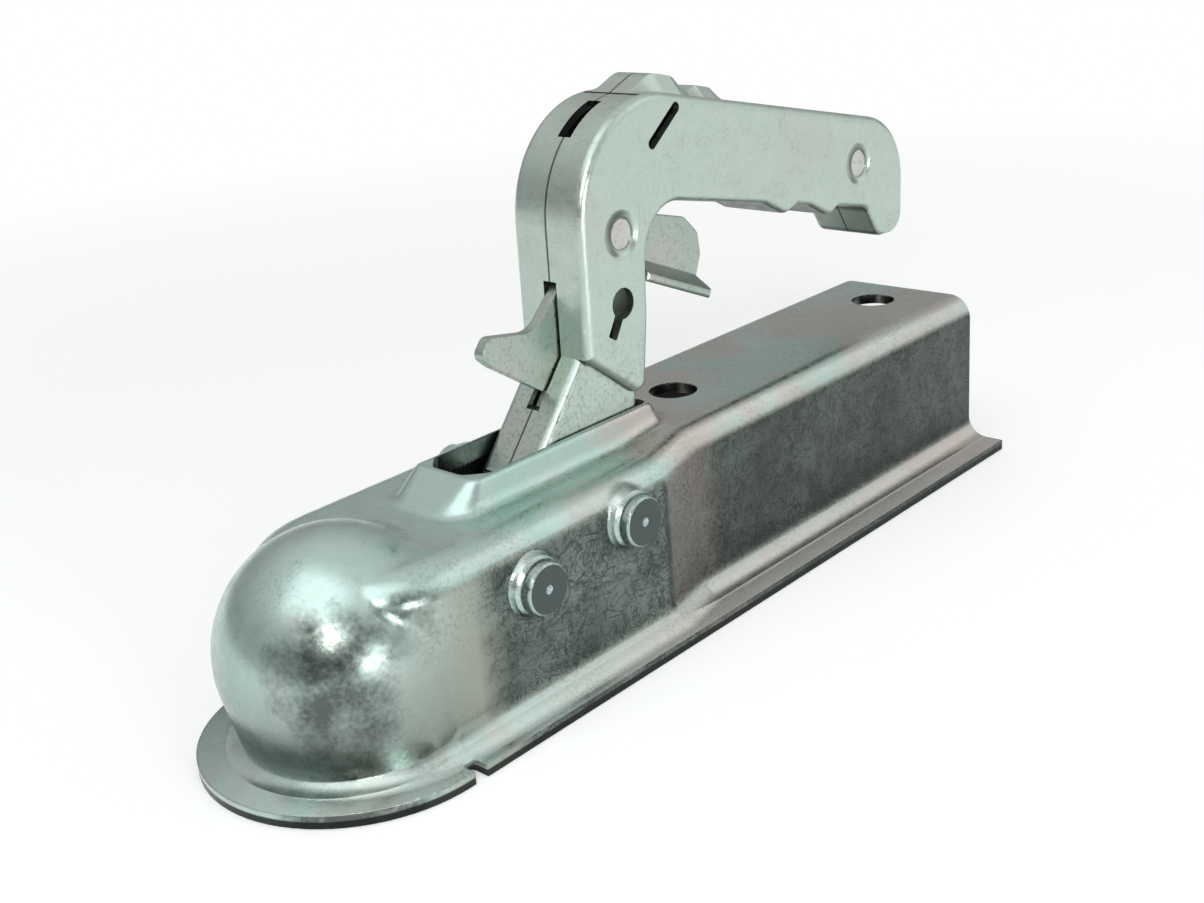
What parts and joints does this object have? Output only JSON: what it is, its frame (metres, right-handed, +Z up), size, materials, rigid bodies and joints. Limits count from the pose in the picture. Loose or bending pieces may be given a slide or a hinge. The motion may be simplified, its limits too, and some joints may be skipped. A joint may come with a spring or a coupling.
{
  "type": "trailer coupling head",
  "caption": "Pressed steel trailer coupling head for a ball, with a drawbar channel, ball claw, lift handle, finger trigger and wear indicator.",
  "frame": {"origin": "centre of the ball socket", "axes": "+X rearward along the drawbar, +Z up, +Y to the far side; the flange underside is 24 mm below the origin"},
  "size_m": [0.2678, 0.073, 0.1327],
  "materials": {
    "housing_zinc": "bright zinc plate on pressed sheet, satin",
    "handle_zinc": "bright zinc plate, satin",
    "plate_zinc": "bright zinc plate, tumbled edges",
    "rivet_zinc": "zinc plate over an upset head",
    "forged_steel": "phosphated forging",
    "plain_steel": "turned steel",
    "spring_steel": "oiled spring wire"
  },
  "bodies": {
    "base": {"housing": "housing_zinc", "claw_rivet": "rivet_zinc", "handle_rivet": "rivet_zinc", "claw_spacer_near": "plain_steel", "claw_spacer_far": "plain_steel", "handle_spacer_near": "plain_steel", "handle_spacer_far": "plain_steel"},
    "claw": {"ball_claw": "forged_steel", "claw_bush": "plain_steel", "claw_spring": "spring_steel"},
    "handle": {"handle_shell_near": "handle_zinc", "handle_shell_far": "handle_zinc", "neck_rivet": "rivet_zinc", "grip_rivet": "rivet_zinc", "grip_spacer": "plain_steel", "neck_spacer_near": "plain_steel", "neck_spacer_far": "plain_steel", "cam_plate_near": "forged_steel", "cam_plate_far": "forged_steel"},
    "finger_trigger": {"trigger": "plate_zinc"},
    "indicator": {"wear_indicator": "plate_zinc"}
  },
  "joints": [
    {"name": "handle_lift", "type": "hinge", "parent": "base", "child": "handle", "pos_m": [0.0663, 0, 0.0128], "axis": [0, -1, 0], "range_deg": [0, 45]},
    {"name": "claw_swing", "type": "hinge", "parent": "base", "child": "claw", "pos_m": [0.0331, 0, 0.009], "axis": [0, -1, 0], "range_deg": [0, 19]},
    {"name": "trigger_pull", "type": "hinge", "parent": "handle", "child": "finger_trigger", "pos_m": [0.0897, 0, 0.0742], "axis": [0, -1, 0], "range_deg": [0, 12], "stiffness_Nm_per_rad": 0.4, "springref_deg": -17.19},
    {"name": "indicator_swing", "type": "hinge", "parent": "handle", "child": "indicator", "pos_m": [0.0663, 0, 0.0128], "axis": [0, -1, 0], "range_deg": [-5.4, 0]}
  ],
  "couplings": [
    {"joint": "claw_swing", "follows": "handle_lift", "ratio": 0.42},
    {"joint": "indicator_swing", "follows": "handle_lift", "ratio": -0.12}
  ]
}
